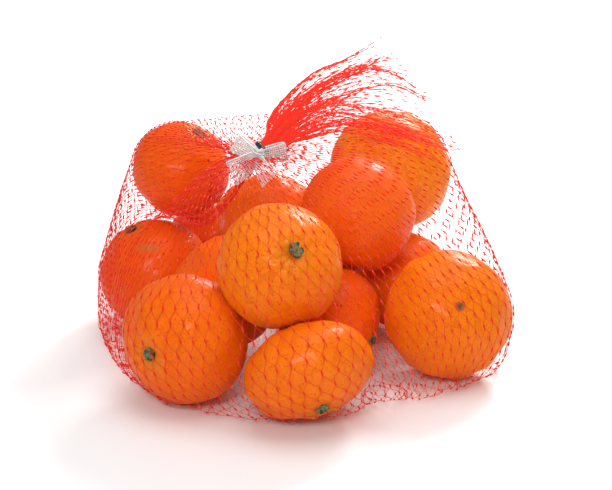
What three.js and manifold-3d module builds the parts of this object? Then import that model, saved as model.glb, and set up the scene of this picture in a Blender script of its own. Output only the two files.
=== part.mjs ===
// A net of mandarins: a soft knitted bag drawn over fourteen fruit and gathered into a neck above them, closed
// there by a metal clip and tied with a ribbon bow. Beyond the clip the spare net spreads into three tongues.
// The bag's solid is the heap of fruit at true size, with the net's gathers and its folds on the floor.
// Millimetres, +Z up, the floor at z = 0, front toward -Y. The origin lies on the floor under the bag.
import * as THREE from "three";
import { mergeVertices } from "three/addons/utils/BufferGeometryUtils.js";
import Module from "manifold-3d";

const wasm = await Module();
wasm.setup();

// ---------- the fruit ----------
// Plan position, equatorial radius and flatness (polar radius over equatorial radius). The stalk axis gives the
// tilt of the flat way. A fruit with a height rests on others; the rest stand on the floor.
const FRUIT = [
  { at: [-54, -56], radius: 30, flat: 0.85, axis: [-0.6, -0.8, 0] },
  { at: [1, -80], radius: 29.5, flat: 0.68, axis: [0.3, -0.6, -0.75] },
  { at: [66, -24], radius: 30, flat: 0.88, axis: [0.2, -0.85, 0.45] },
  { at: [11, -20], radius: 25.5, flat: 0.92, axis: [0.8, -0.4, -0.4] },
  { at: [-75, 42], radius: 27.5, flat: 0.95, axis: [-0.45, 0, 0.9] },
  { at: [48, 34], radius: 25.5, flat: 0.95, axis: [0.7, 0, 0.7] },
  { at: [-47, 82], height: 30, radius: 24, flat: 0.93, axis: [0, 0, 1] },
  { at: [18, 80], radius: 26, flat: 0.93, axis: [0, 0, 1] },
  { at: [-38, -6], height: 35, radius: 25.5, flat: 0.95, axis: [-0.6, -0.3, 0.75] },
  { at: [-11.5, -55], height: 64, radius: 28.5, flat: 0.84, axis: [0.25, -0.8, 0.55] },
  { at: [-18, 40], height: 53, radius: 25.5, flat: 0.95, axis: [0, -0.35, 0.95] },
  { at: [24.5, 7], height: 68, radius: 27.5, flat: 0.93, axis: [0.35, -0.8, 0.5] },
  { at: [42, 64], height: 72.5, radius: 31, flat: 0.9, axis: [0.4, -0.6, 0.7] },
  { at: [-62, 60], height: 74, radius: 24.5, flat: 0.95, axis: [0.4, -0.15, 0.9] },
];

// ---------- neck ----------
const NECK = new THREE.Vector3(-19.7, 9, 99.6); // middle of the clip
const NECK_DIRECTION = new THREE.Vector3(0.6, 0.12, 0.79).normalize();
const NECK_RADIUS = 3.4;
const STEM_LENGTH = 24; // the round stem of gathered net, half of it inside the bag
const STEM_SIDES = 20;
const APEX_BELOW = 12.5; // under the clip, where the gathers of net part toward the fruit
const GATHER_RADIUS = 3.2; // a gather where it leaves the stem
const GATHER_FOOT = [7, 3]; // half width and half thickness of a gather where it spreads onto a fruit
const GATHER_REACH = 45; // fruit nearer to the foot of the stem than this take a gather
const GATHER_SINK = 2; // a gather's foot reaches this far into its fruit
const GATHER_SIDES = [10, 6];

// ---------- the bag round the fruit ----------
// Loose folds of net lying on the floor beside the fruit: plan position, radius, height.
const FOLDS = [
  { at: [-90, 18], radius: 11, height: 6 },
  { at: [-74, -30], radius: 10, height: 5 },
  { at: [-52, -56], radius: 14, height: 4 },
  { at: [-16, -70], radius: 10, height: 3 },
  { at: [36, -52], radius: 11, height: 4 },
  { at: [60, -42], radius: 11, height: 5 },
  { at: [80, -22], radius: 11, height: 6 },
];
const FOLD_FOOT = 6; // a fold runs in under the nearest fruit and is this wide there
const FOLD_SIDES = [16, 8];
const NET_THICKNESS = 0.6; // the net stands this far off the fruit it lies on
const FRUIT_DETAIL = 4; // splits of the twenty-sided ball that each fruit is made from

// ---------- the core that fills the heap between the fruit ----------
const HEART = new THREE.Vector3(-5, -2, 40); // inside point the core is measured from
const CORE_INSET = 4; // the core lies this far inside a fruit's skin
const HOLLOW_BLEND = 5; // rounding of the hollows between fruit
const DEEPEST = 46; // a hollow is never drawn in further than this from the taut wrapping
const COLUMNS = 50;
const ROWS = 24;
const TAUT_RINGS = 26; // rings of directions in which the taut wrapping is held
const FACING = 0.05; // a plane that a direction meets at a flatter slope than this is left out
const SEARCH_STEP = 2;
const HALVINGS = 16;
const BELOW_FLOOR = NET_THICKNESS / 2; // the core is traced this far under the floor, for a clean cut
const SMOOTH_PASSES = 2;
const FLOOR_CUT = [400, 400, 40];
const FACET_TOLERANCE = 0.3; // facets of the bag are merged where that moves them less than this

// ---------- spare net beyond the clip ----------
// Each tongue: points of its centre line beyond the neck, with the width and thickness there.
const SECTION_POINTS = 14;
const SECTIONS = 14;
const ROOT_WIDTH = 6.6;
const ROOT_ABOVE = 2.2; // the tongues part from the stem this far above the middle of the clip
const TONGUES = [
  {
    line: [[-14, 10, 111], [-6.5, 12, 122], [3.5, 14, 131.5], [14, 15, 137], [26, 16, 141.5], [37, 17, 146]],
    width: [12, 16, 15, 12, 10, 7],
    thick: [8, 8, 7, 6, 4, 2.4],
  },
  {
    line: [[-11.5, 12, 109.5], [-2, 15, 118], [11, 18, 124], [26, 20, 129], [41.5, 22, 129.5], [57, 24, 118]],
    width: [13, 19, 20, 13, 11, 4],
    thick: [8, 9, 9, 7, 5, 2.4],
  },
  {
    line: [[-10, 14, 106], [2, 23, 110.5], [17, 38, 108.5], [36, 53, 103], [55, 47, 96], [71.5, 44, 89]],
    width: [11, 15, 17, 20, 20, 11],
    thick: [8, 8, 6, 4, 4, 2.4],
  },
];

// ---------- clip and ribbon ----------
const GAP = 0.35; // clearance between separate pieces
const CLIP_HALF_WIDTH = 1.2;
const CLIP_WALL = 0.9;
const RING_SIDES = 28;
const TIE_BELOW = 2.75; // middle of the ribbon's turn round the neck, under the clip
const TIE_HALF_WIDTH = 1;
const TIE_WALL = 0.8;
const RIBBON_THICKNESS = 0.8;
const STRIP_STEPS = 16;
const LOOP_PARTING = 0.5; // half the gap between a loop's two layers where they leave the knot
const KNOT = new THREE.Vector3(-22.7, 3.3, 97.4);
const KNOT_HALF = [3.1, 2.3, 2.6];
const KNOT_DETAIL = [12, 8];
// Each lobe of the bow leaves the knot: the end of its middle line, its width at the knot and at the end, and
// how far it bows out. A loop goes out in front and comes back behind; a cut end only goes out.
const LOBES = [
  { to: [-33, 8, 103], start: 3.4, end: 8.6, lift: 1.9, loop: true },
  { to: [-9, 3.4, 100], start: 3.4, end: 8, lift: 1.9, loop: true },
  { to: [-35, -8, 93.2], start: 3.2, end: 9.6, lift: 1.4, loop: false },
  { to: [-17, -15, 91], start: 3, end: 8, lift: 1.2, loop: false },
];

const unit = (v) => new THREE.Vector3(...v).normalize();
const alongNeck = (distance) => NECK.clone().addScaledVector(NECK_DIRECTION, distance);

// Half the height of a fruit whose stalk axis is tilted: how high its centre stands above the floor.
function halfHeight(f) {
  const up = unit(f.axis).z;
  return Math.hypot(f.radius * Math.sqrt(1 - up * up), f.radius * f.flat * up);
}

// Everything the net is drawn over, as flattened balls.
const apex = alongNeck(-APEX_BELOW);
const fruitBalls = FRUIT.map((f) => ({
  centre: new THREE.Vector3(f.at[0], f.at[1], f.height ?? halfHeight(f)),
  axis: unit(f.axis),
  across: f.radius + NET_THICKNESS,
  along: f.radius * f.flat + NET_THICKNESS,
}));
const foldBalls = FOLDS.map((f) => ({
  centre: new THREE.Vector3(f.at[0], f.at[1], 0),
  axis: new THREE.Vector3(0, 0, 1),
  across: f.radius,
  along: f.height,
}));
const apexBall = { centre: apex, axis: NECK_DIRECTION, across: GATHER_RADIUS, along: GATHER_RADIUS };

// How far a ball reaches in a direction, measured from the world's origin.
function reach(ball, n) {
  const c = n.dot(ball.axis);
  return n.dot(ball.centre) + Math.hypot(ball.across * Math.sqrt(Math.max(0, 1 - c * c)), ball.along * c);
}

// Distance from a point to a ball's surface, along the line to its centre.
function distanceTo(ball, p) {
  const q = p.clone().sub(ball.centre);
  const length = Math.max(q.length(), Number.EPSILON);
  const t = q.dot(ball.axis);
  const across = Math.sqrt(Math.max(0, length * length - t * t));
  return length * (1 - 1 / Math.hypot(across / ball.across, t / ball.along));
}

const direction = (turn, polar) =>
  new THREE.Vector3(Math.sin(polar) * Math.cos(turn), Math.sin(polar) * Math.sin(turn), Math.cos(polar));

// The taut wrapping: in each direction, the plane that touches the outermost ball.
const tautPlanes = [];
for (let i = 0; i <= TAUT_RINGS; i++) {
  const polar = (Math.PI * i) / TAUT_RINGS;
  const count = Math.max(1, Math.round(2 * TAUT_RINGS * Math.sin(polar)));
  for (let j = 0; j < count; j++) {
    const n = direction((2 * Math.PI * (j + (i % 2) / 2)) / count, polar);
    const furthest = Math.max(...[...fruitBalls, apexBall].map((b) => reach(b, n)));
    tautPlanes.push({ n, offset: furthest - n.dot(HEART) });
  }
}

function tautRadius(d) {
  let best = Infinity;
  for (const { n, offset } of tautPlanes) {
    const facing = n.dot(d);
    if (facing > FACING) best = Math.min(best, offset / facing);
  }
  return best;
}

// Signed distance to the fruit as one soft-edged mass.
function massDistance(p) {
  let sum = 0;
  for (const b of fruitBalls) sum += Math.exp((-CORE_INSET - distanceTo(b, p)) / HOLLOW_BLEND);
  return -HOLLOW_BLEND * Math.log(sum);
}

// How far the core reaches from the heart in a direction: out to the mass of fruit or near the taut wrapping.
function coreRadius(d) {
  const taut = tautRadius(d);
  const point = new THREE.Vector3();
  const distance = (r) => massDistance(point.copy(HEART).addScaledVector(d, r));
  let inner = taut;
  while (inner > taut - DEEPEST && distance(inner) > 0) inner -= SEARCH_STEP;
  let outer = inner + SEARCH_STEP;
  for (let i = 0; i < HALVINGS; i++) {
    const middle = (inner + outer) / 2;
    if (distance(middle) > 0) outer = middle;
    else inner = middle;
  }
  return Math.max(inner, taut - DEEPEST);
}

// ---------- meshes and solids ----------
// A closed skin through rings of equal length, with a point at each end.
function skinOfRings(rings, first, last) {
  const n = rings[0].length;
  const points = [first, ...rings.flat(), last];
  const end = points.length - 1;
  const at = (i, j) => 1 + i * n + (j % n);
  const faces = [];
  for (let j = 0; j < n; j++) {
    faces.push(0, at(0, j), at(0, j + 1));
    faces.push(end, at(rings.length - 1, j + 1), at(rings.length - 1, j));
    for (let i = 0; i < rings.length - 1; i++) {
      faces.push(at(i, j), at(i + 1, j), at(i + 1, j + 1));
      faces.push(at(i, j), at(i + 1, j + 1), at(i, j + 1));
    }
  }
  const g = new THREE.BufferGeometry();
  g.setAttribute("position", new THREE.Float32BufferAttribute(points.flatMap((p) => [p.x, p.y, p.z]), 3));
  g.setIndex(faces);
  return g;
}

function toSolid(geometry) {
  const bare = geometry.clone();
  bare.deleteAttribute("normal");
  bare.deleteAttribute("uv");
  const g = mergeVertices(bare, 1e-4);
  return new wasm.Manifold(
    new wasm.Mesh({
      numProp: 3,
      vertProperties: g.attributes.position.array,
      triVerts: new Uint32Array(g.index.array),
    }),
  );
}

function toGeometry(solid) {
  const m = solid.getMesh();
  const g = new THREE.BufferGeometry();
  g.setAttribute("position", new THREE.BufferAttribute(new Float32Array(m.vertProperties), 3));
  g.setIndex(new THREE.BufferAttribute(new Uint32Array(m.triVerts), 1));
  g.computeVertexNormals();
  return g;
}

// Turns a shape made along +Y onto the neck's direction, its origin at a distance along the neck.
function ontoNeck(geometry, distance) {
  const turn = new THREE.Quaternion().setFromUnitVectors(new THREE.Vector3(0, 1, 0), NECK_DIRECTION);
  const at = alongNeck(distance);
  return geometry.applyQuaternion(turn).translate(at.x, at.y, at.z);
}

function ringRoundNeck(outer, halfWidth, distance) {
  const inner = NECK_RADIUS + GAP;
  const profile = [[inner, -halfWidth], [outer, -halfWidth], [outer, halfWidth], [inner, halfWidth]];
  profile.push(profile[0]);
  return ontoNeck(new THREE.LatheGeometry(profile.map((p) => new THREE.Vector2(...p)), RING_SIDES), distance);
}

// ---------- the filled bag ----------
// The polar angle at which the taut wrapping passes through the floor, for one turn about the heart.
function rimAngle(turn) {
  let above = Math.PI / 2;
  let below = Math.PI;
  for (let i = 0; i < HALVINGS; i++) {
    const middle = (above + below) / 2;
    if (HEART.z + tautRadius(direction(turn, middle)) * Math.cos(middle) > -BELOW_FLOOR) above = middle;
    else below = middle;
  }
  return above;
}

// Each radius moves halfway to the mean of its four neighbours. The last two rings keep the foot of the core.
function smoothed(radii) {
  return radii.map((row, i) =>
    row.map((r, j) => {
      if (i === 0 || i >= ROWS - 2) return r;
      const beside = row[(j + 1) % COLUMNS] + row[(j + COLUMNS - 1) % COLUMNS];
      return (r + (beside + radii[i - 1][j] + radii[i + 1][j]) / 4) / 2;
    }),
  );
}

function core() {
  const turns = Array.from({ length: COLUMNS }, (_, j) => (2 * Math.PI * j) / COLUMNS);
  const rims = turns.map(rimAngle);
  const way = (i, j) => direction(turns[j], (rims[j] * (i + 1)) / ROWS);
  let radii = Array.from({ length: ROWS }, (_, i) => turns.map((_, j) => coreRadius(way(i, j))));
  for (let pass = 0; pass < SMOOTH_PASSES; pass++) radii = smoothed(radii);
  const rings = radii.map((row, i) => row.map((r, j) => way(i, j).multiplyScalar(r).add(HEART)));
  for (const p of rings.at(-1)) p.z = -BELOW_FLOOR;
  const crown = HEART.clone().setZ(HEART.z + coreRadius(new THREE.Vector3(0, 0, 1)));
  return skinOfRings(rings, crown, HEART.clone().setZ(-BELOW_FLOOR));
}

function fruit({ centre, axis, across, along }) {
  const ball = new THREE.IcosahedronGeometry(1, FRUIT_DETAIL).scale(across, across, along);
  const tilt = new THREE.Quaternion().setFromUnitVectors(new THREE.Vector3(0, 0, 1), axis);
  return toSolid(ball.applyQuaternion(tilt).translate(centre.x, centre.y, centre.z));
}

// A loose fold on the floor: a low dome drawn out until it runs in under the nearest fruit.
function fold({ centre, across, along }) {
  const away = (b) => Math.hypot(b.centre.x - centre.x, b.centre.y - centre.y);
  const nearest = fruitBalls.filter((b) => b.centre.z < b.across).sort((a, b) => away(a) - away(b))[0];
  const dome = new THREE.SphereGeometry(1, ...FOLD_SIDES).rotateX(Math.PI / 2);
  const outer = dome.clone().scale(across, across, along).translate(centre.x, centre.y, 0);
  const under = nearest.centre;
  const inner = dome.clone().scale(FOLD_FOOT, FOLD_FOOT, along / 2).translate(under.x, under.y, 0);
  return wasm.Manifold.hull([toSolid(outer), toSolid(inner)]);
}

// A gather of net that runs from the foot of the stem to a fruit and spreads onto it.
function gather(ball) {
  const toBall = ball.centre.clone().sub(apex);
  const run = distanceTo(ball, apex) + GATHER_SINK;
  const foot = apex.clone().addScaledVector(toBall.normalize(), run);
  const [halfWidth, halfThickness] = GATHER_FOOT;
  const sideways = new THREE.Vector3().crossVectors(toBall, new THREE.Vector3(0, 0, 1)).normalize();
  const upward = new THREE.Vector3().crossVectors(sideways, toBall).normalize();
  const frame = new THREE.Matrix4().makeBasis(sideways, upward, toBall.negate());
  const flat = new THREE.SphereGeometry(1, ...GATHER_SIDES).scale(halfWidth, halfThickness, halfThickness);
  const top = new THREE.SphereGeometry(GATHER_RADIUS, ...GATHER_SIDES).translate(apex.x, apex.y, apex.z);
  flat.applyMatrix4(frame).translate(foot.x, foot.y, foot.z);
  return wasm.Manifold.hull([toSolid(flat), toSolid(top)]);
}

// A flattened tongue of net: elliptical sections along a smooth centre line, wide as seen from the front.
function tongue({ line, width, thick }) {
  const beyond = line.map((p) => new THREE.Vector3(...p));
  const path = new THREE.CatmullRomCurve3([alongNeck(ROOT_ABOVE), ...beyond]);
  const back = new THREE.Vector3(0, 1, 0);
  const blend = (list, t) => {
    const x = t * list.length;
    const i = Math.min(Math.floor(x), list.length - 1);
    return THREE.MathUtils.lerp(i ? list[i - 1] : ROOT_WIDTH, list[i], x - i);
  };
  const rings = [];
  for (let i = 0; i <= SECTIONS; i++) {
    const t = i / SECTIONS;
    const centre = path.getPoint(t);
    const along = path.getTangent(t);
    const wide = new THREE.Vector3().crossVectors(back, along).normalize();
    const deep = new THREE.Vector3().crossVectors(wide, along).normalize();
    rings.push(
      Array.from({ length: SECTION_POINTS }, (_, k) => {
        const a = (2 * Math.PI * k) / SECTION_POINTS;
        return centre
          .clone()
          .addScaledVector(wide, (blend(width, t) / 2) * Math.cos(a))
          .addScaledVector(deep, (blend(thick, t) / 2) * Math.sin(a));
      }),
    );
  }
  return skinOfRings(rings, path.getPoint(0), path.getPoint(1));
}

const underFloor = new THREE.BoxGeometry(...FLOOR_CUT).translate(0, 0, -FLOOR_CUT[2] / 2);
const stem = new THREE.CylinderGeometry(NECK_RADIUS, NECK_RADIUS, STEM_LENGTH, STEM_SIDES);
const heap = [toSolid(core()), ...fruitBalls.map(fruit), ...foldBalls.map(fold)];
const gathers = fruitBalls.filter((b) => distanceTo(b, apex) < GATHER_REACH).map(gather);
const bag = wasm.Manifold.union([...heap, ...gathers]).subtract(toSolid(underFloor)).simplify(FACET_TOLERANCE);
const spare = [toSolid(ontoNeck(stem, 0)), ...TONGUES.map((t) => toSolid(tongue(t)))];
const net = wasm.Manifold.union([bag, ...spare]);

// ---------- the bow ----------
function lobe({ to, start, end, lift, loop }) {
  const tip = new THREE.Vector3(...to);
  const out = tip.clone().sub(KNOT);
  const length = out.length();
  out.normalize();
  const wide = new THREE.Vector3().crossVectors(out, new THREE.Vector3(0, -1, 0)).normalize();
  const front = new THREE.Vector3().crossVectors(wide, out).normalize();
  const at = (share, forward) =>
    KNOT.clone().addScaledVector(out, share * length).addScaledVector(front, forward);
  const points = loop
    ? [
        at(0, LOOP_PARTING),
        at(0.4, lift),
        at(0.8, lift),
        at(1, 0),
        at(0.8, -lift),
        at(0.4, -lift),
        at(0, -LOOP_PARTING),
      ]
    : [at(0, 0), at(0.5, lift), at(1, 0)];
  const path = new THREE.CatmullRomCurve3(points);
  const rings = [];
  for (let i = 0; i <= STRIP_STEPS; i++) {
    const t = i / STRIP_STEPS;
    const centre = path.getPoint(t);
    const deep = new THREE.Vector3().crossVectors(path.getTangent(t), wide).normalize();
    const share = THREE.MathUtils.clamp(centre.clone().sub(KNOT).dot(out) / length, 0, 1);
    const half = THREE.MathUtils.lerp(start, end, Math.sqrt(share)) / 2;
    const corner = (a, b) =>
      centre.clone().addScaledVector(wide, a * half).addScaledVector(deep, (b * RIBBON_THICKNESS) / 2);
    rings.push([corner(-1, -1), corner(-1, 1), corner(0, 1), corner(1, 1), corner(1, -1), corner(0, -1)]);
  }
  return skinOfRings(rings, path.getPoint(0), path.getPoint(1));
}

const knot = new THREE.SphereGeometry(1, ...KNOT_DETAIL).scale(...KNOT_HALF);
knot.translate(KNOT.x, KNOT.y, KNOT.z);
let bow = toSolid(knot).add(toSolid(ringRoundNeck(NECK_RADIUS + GAP + TIE_WALL, TIE_HALF_WIDTH, -TIE_BELOW)));
for (const l of LOBES) bow = bow.add(toSolid(lobe(l)));
const roomRoundNeck = (radius, height) =>
  toSolid(ontoNeck(new THREE.CylinderGeometry(radius, radius, height, RING_SIDES), 0));
const clipRadius = NECK_RADIUS + GAP + CLIP_WALL;
bow = bow.subtract(roomRoundNeck(NECK_RADIUS + GAP, STEM_LENGTH));
bow = bow.subtract(roomRoundNeck(clipRadius + GAP, 2 * (CLIP_HALF_WIDTH + GAP)));

const clip = toSolid(ringRoundNeck(clipRadius, CLIP_HALF_WIDTH, 0));

// ---------- the part ----------
const group = new THREE.Group();
function piece(name, solid, color, roughness, metalness) {
  const mesh = new THREE.Mesh(
    toGeometry(solid),
    new THREE.MeshStandardMaterial({ color, roughness, metalness }),
  );
  mesh.name = name;
  group.add(mesh);
}
piece("net", net, 0xe8561c, 0.55, 0);
piece("bow", bow, 0xb9bab8, 0.6, 0);
piece("clip", clip, 0x8f9296, 0.35, 1);

export default group;
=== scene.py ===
"""A net of mandarins: fourteen fruit in a soft knitted net, closed by a clip and tied with a gauze bow."""

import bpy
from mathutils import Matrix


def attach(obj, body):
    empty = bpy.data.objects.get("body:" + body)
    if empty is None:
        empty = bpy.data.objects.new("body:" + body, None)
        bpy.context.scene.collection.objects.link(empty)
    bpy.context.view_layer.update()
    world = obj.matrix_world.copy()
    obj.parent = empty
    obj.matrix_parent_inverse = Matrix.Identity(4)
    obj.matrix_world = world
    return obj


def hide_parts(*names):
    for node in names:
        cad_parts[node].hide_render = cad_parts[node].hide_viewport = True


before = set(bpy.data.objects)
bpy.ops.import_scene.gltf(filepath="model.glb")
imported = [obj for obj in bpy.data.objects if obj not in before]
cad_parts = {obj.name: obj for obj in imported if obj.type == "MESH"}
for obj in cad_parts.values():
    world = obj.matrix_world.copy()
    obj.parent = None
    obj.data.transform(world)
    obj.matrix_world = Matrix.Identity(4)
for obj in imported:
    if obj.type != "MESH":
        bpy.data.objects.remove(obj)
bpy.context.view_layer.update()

import math
from collections import namedtuple

import bpy
import numpy as np
from bpy.props import FloatProperty, FloatVectorProperty, IntProperty, PointerProperty
from mathutils import Vector

bl_info = {
    "name": "Net of Mandarins",
    "version": (1, 0, 0),
    "blender": (4, 5, 0),
    "location": "3D View > Sidebar > Net Bag",
    "description": "Builds mandarins in a knitted net bag with a gauze bow",
    "category": "Add Mesh",
}

MM = 0.001
BODY = "root"

# ---------- sizes, in millimetres ----------
# Centre on the floor plan, height of the centre (None: the fruit stands on the floor), equatorial radius,
# polar radius over equatorial radius, and the direction of one end of the core. `end` names that end, and
# `hue` runs from 0 for the ripest peel to 1 for the yellowest.
Fruit = namedtuple("Fruit", "name at height radius flat axis end hue")
FRUITS = [
    Fruit("front_left", (-54, -56), None, 30, 0.85, (-0.6, -0.8, 0), "stalk", 0.3),
    Fruit("front_middle", (1, -80), None, 29.5, 0.68, (0.3, -0.6, -0.75), "stalk", 0.45),
    Fruit("front_right", (66, -24), None, 30, 0.88, (0.2, -0.85, 0.45), "blossom", 0.62),
    Fruit("middle_low", (11, -20), None, 25.5, 0.92, (0.8, -0.4, -0.4), "stalk", 0.0),
    Fruit("left_low", (-75, 42), None, 27.5, 0.95, (-0.45, 0, 0.9), "stalk", 0.05),
    Fruit("right_low", (48, 34), None, 25.5, 0.95, (0.7, 0, 0.7), "blossom", 0.3),
    Fruit("back_left", (-47, 82), 30, 24, 0.93, (0, 0, 1), "stalk", 0.2),
    Fruit("back_right", (18, 80), None, 26, 0.93, (0, 0, 1), "stalk", 0.4),
    Fruit("left_inner", (-37, -6.5), 34, 27, 0.95, (-0.6, -0.3, 0.75), "blossom", 0.2),
    Fruit("top_front", (-11.5, -55), 64, 28.5, 0.84, (0.25, -0.8, 0.55), "stalk", 0.62),
    Fruit("top_inner", (-18, 40), 53, 25.5, 0.95, (0, -0.35, 0.95), "blossom", 0.25),
    Fruit("top_right", (24.5, 7), 68, 27.5, 0.93, (0.35, -0.8, 0.5), "blossom", 0.2),
    Fruit("top_back", (42, 64), 72.5, 31, 0.9, (0.4, -0.6, 0.7), "blossom", 1.0),
    Fruit("top_left", (-62, 60), 74, 24.5, 0.95, (0.4, -0.15, 0.9), "stalk", 0.1),
]
NECK = np.array([-19.7, 9, 99.6])  # middle of the clip
NECK_DIRECTION = np.array([0.6, 0.12, 0.79]) / np.linalg.norm([0.6, 0.12, 0.79])
NECK_RADIUS = 3.4
APEX_BELOW = 12.5  # under the clip, where the net parts toward the fruit
HEART = np.array([-5, -2, 40.0])  # inside point from which the net's first shape is measured
FOLDS = [  # loose folds of net on the floor: plan position, radius, height
    ((-90, 18), 11, 6),
    ((-74, -30), 10, 5),
    ((-52, -56), 14, 4),
    ((-16, -70), 10, 3),
    ((36, -52), 11, 4),
    ((60, -42), 11, 5),
    ((80, -22), 11, 6),
]


def unit(v):
    v = np.asarray(v, float)
    return v / np.linalg.norm(v, axis=-1, keepdims=True)


def crosswise(axis, hint):
    """Two directions square to an axis and to each other."""
    side = unit(np.cross(axis, hint))
    return side, np.cross(axis, side)


def run_along(path):
    """How far along a path each of its points lies."""
    return np.concatenate([[0], np.cumsum(np.linalg.norm(np.diff(path, axis=0), axis=1))])


def points_at(path, run, at):
    """Points of a path at the given distances along it."""
    return np.stack([np.interp(at, run, path[:, k]) for k in range(3)], axis=-1)


def half_height(fruit):
    up = unit(fruit.axis)[2]
    return math.hypot(fruit.radius * math.sqrt(1 - up * up), fruit.radius * fruit.flat * up)


def centre_of(fruit):
    return np.array([*fruit.at, fruit.height or half_height(fruit)], float)


# ---------- meshes ----------
def add_shown(name, data):
    item = bpy.data.objects.new(name, data)
    bpy.context.scene.collection.objects.link(item)
    return item


def add_mesh(name, points, faces, node, material):
    """A piece from points in millimetres, riding on the body and standing for a node."""
    mesh = bpy.data.meshes.new(name)
    mesh.from_pydata((np.asarray(points) * MM).tolist(), [], faces)
    mesh.validate()
    mesh.shade_smooth()
    mesh.materials.append(material)
    piece = add_shown(name, mesh)
    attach(piece, BODY)
    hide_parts(node)
    return piece


def quads(index, first, second):
    """Faces of a grid of point numbers, each from a point to the next along one axis and then the other."""
    across, up = np.roll(index, -1, axis=first), np.roll(index, -1, axis=second)
    return np.stack([index, across, np.roll(across, -1, axis=second), up], axis=-1)


def tubes(paths, radii, sides, facing, twist=0.0, caps=True):
    """Round tubes along many paths at once: paths is tubes x points x 3, and radii fits tubes x points."""
    count, steps = paths.shape[:2]
    along = unit(np.gradient(paths, axis=1) + 1e-9)
    across = unit(np.cross(along, facing))
    lift = np.cross(across, along)
    turn = 2 * np.pi * np.arange(sides) / sides + twist * np.arange(steps)[:, None]
    cosine, sine = np.cos(turn)[None, :, :, None], np.sin(turn)[None, :, :, None]
    ring = across[:, :, None] * cosine + lift[:, :, None] * sine
    points = paths[:, :, None] + ring * np.broadcast_to(radii, (count, steps))[:, :, None, None]
    index = np.arange(count * steps * sides).reshape(count, steps, sides)
    faces = quads(index, 2, 1)[:, :-1].reshape(-1, 4).tolist()
    if caps:
        faces += index[:, 0, ::-1].tolist() + index[:, -1].tolist()
    return points.reshape(-1, 3), faces


def join(parts):
    """Several (points, faces) as one."""
    points, faces, start = [], [], 0
    for p, f in parts:
        points.append(p)
        faces += [tuple(i + start for i in face) for face in f]
        start += len(p)
    return np.concatenate(points), faces


def ripple(points, seed, wavelength, waves=14):
    """A smooth random field of about -1 to 1 over points, with bumps about wavelength across."""
    rng = np.random.default_rng(seed)
    ways = unit(rng.normal(size=(waves, 3))) * (2 * np.pi / wavelength) * rng.uniform(0.6, 1.4, (waves, 1))
    phases = rng.uniform(0, 2 * np.pi, waves)
    return np.sin(points @ ways.T + phases).sum(axis=-1) / math.sqrt(waves)


# ---------- shader helpers ----------
class Nodes:
    """Adds shader nodes to a tree and links them."""

    def __init__(self, tree):
        self.tree = tree

    def add(self, kind, settings=None, **inputs):
        node = self.tree.nodes.new(kind)
        for name, value in (settings or {}).items():
            setattr(node, name, value)
        self.set(node, **inputs)
        return node

    def set(self, node, **inputs):
        """Gives inputs of a node their values or links, each named as its socket is with _ for a space."""
        for name, value in inputs.items():
            self.feed(node, name.replace("_", " "), value)

    def feed(self, node, name, value):
        """Links or sets one input, given by name or number. A colour is given without its alpha."""
        socket = node.inputs[name]
        if isinstance(value, bpy.types.NodeSocket):
            self.tree.links.new(value, socket)
        else:
            socket.default_value = (*value, 1) if socket.type == "RGBA" else value

    def result(self, kind, settings, values, output=0):
        """An output of a new node, whose inputs are given by number."""
        node = self.add(kind, settings)
        for place, value in values.items():
            self.feed(node, place, value)
        return node.outputs[output]

    def math(self, operation, a, b=0.0, c=0.0):
        return self.result("ShaderNodeMath", {"operation": operation}, {0: a, 1: b, 2: c})

    def mix(self, factor, a, b):
        return self.result("ShaderNodeMix", {"data_type": "RGBA"}, {0: factor, 6: a, 7: b}, 2)

    def ramp(self, value, low, high, to_low=0.0, to_high=1.0):
        values = dict(enumerate((value, low, high, to_low, to_high)))
        return self.result("ShaderNodeMapRange", {"interpolation_type": "SMOOTHSTEP"}, values)

    def distance(self, a, b):
        return self.result("ShaderNodeVectorMath", {"operation": "DISTANCE"}, {0: a, 1: b}, "Value")

    def noise(self, scale, **inputs):
        return self.add("ShaderNodeTexNoise", Scale=scale, **inputs).outputs[0]

    def surface(self):
        """Where the surface is, in the piece's own axes."""
        return self.add("ShaderNodeTexCoord").outputs["Object"]

    def bump(self, shader, height, distance, strength):
        bump = self.add("ShaderNodeBump", Height=height, Distance=distance, Strength=strength)
        self.feed(shader, "Normal", bump.outputs[0])

    def group(self, tree, **inputs):
        node = self.add("ShaderNodeGroup", {"node_tree": tree})
        self.set(node, **inputs)
        return node.outputs


def new_group(name, inputs, outputs):
    """An empty group, with defaults for its inputs: its nodes, its input sockets and its output node."""
    tree = bpy.data.node_groups.new(name, "ShaderNodeTree")
    for label, default in inputs.items():
        socket = tree.interface.new_socket(label, in_out="INPUT", socket_type="NodeSocketFloat")
        socket.default_value = default
    for label in outputs:
        tree.interface.new_socket(label, in_out="OUTPUT", socket_type="NodeSocketFloat")
    nodes = Nodes(tree)
    return nodes, nodes.add("NodeGroupInput").outputs, nodes.add("NodeGroupOutput")


def new_material(name):
    material = bpy.data.materials.new(name)
    material.use_nodes = True
    material.node_tree.nodes.clear()
    nodes = Nodes(material.node_tree)
    shader = nodes.add("ShaderNodeBsdfPrincipled")
    output = nodes.add("ShaderNodeOutputMaterial")
    nodes.feed(output, "Surface", shader.outputs[0])
    return material, nodes, shader


def linear(red, green, blue):
    """A screen colour of 0 to 255 as a linear colour."""
    screen = (red, green, blue)
    return tuple(((c / 255 + 0.055) / 1.055) ** 2.4 if c > 10 else c / 255 / 12.92 for c in screen)


# ---------- settings ----------
def colour_field(name, description, default):
    return FloatVectorProperty(
        name=name, description=description, subtype="COLOR", size=3, min=0, max=1, default=default
    )


def length_field(name, description, default, low, high):
    """A length given in millimetres and kept in metres."""
    return FloatProperty(
        name=name, description=description, unit="LENGTH", default=default * MM, min=low * MM, max=high * MM
    )


def count_field(name, description, default, low, high):
    return IntProperty(name=name, description=description, default=default, min=low, max=high)


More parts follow.
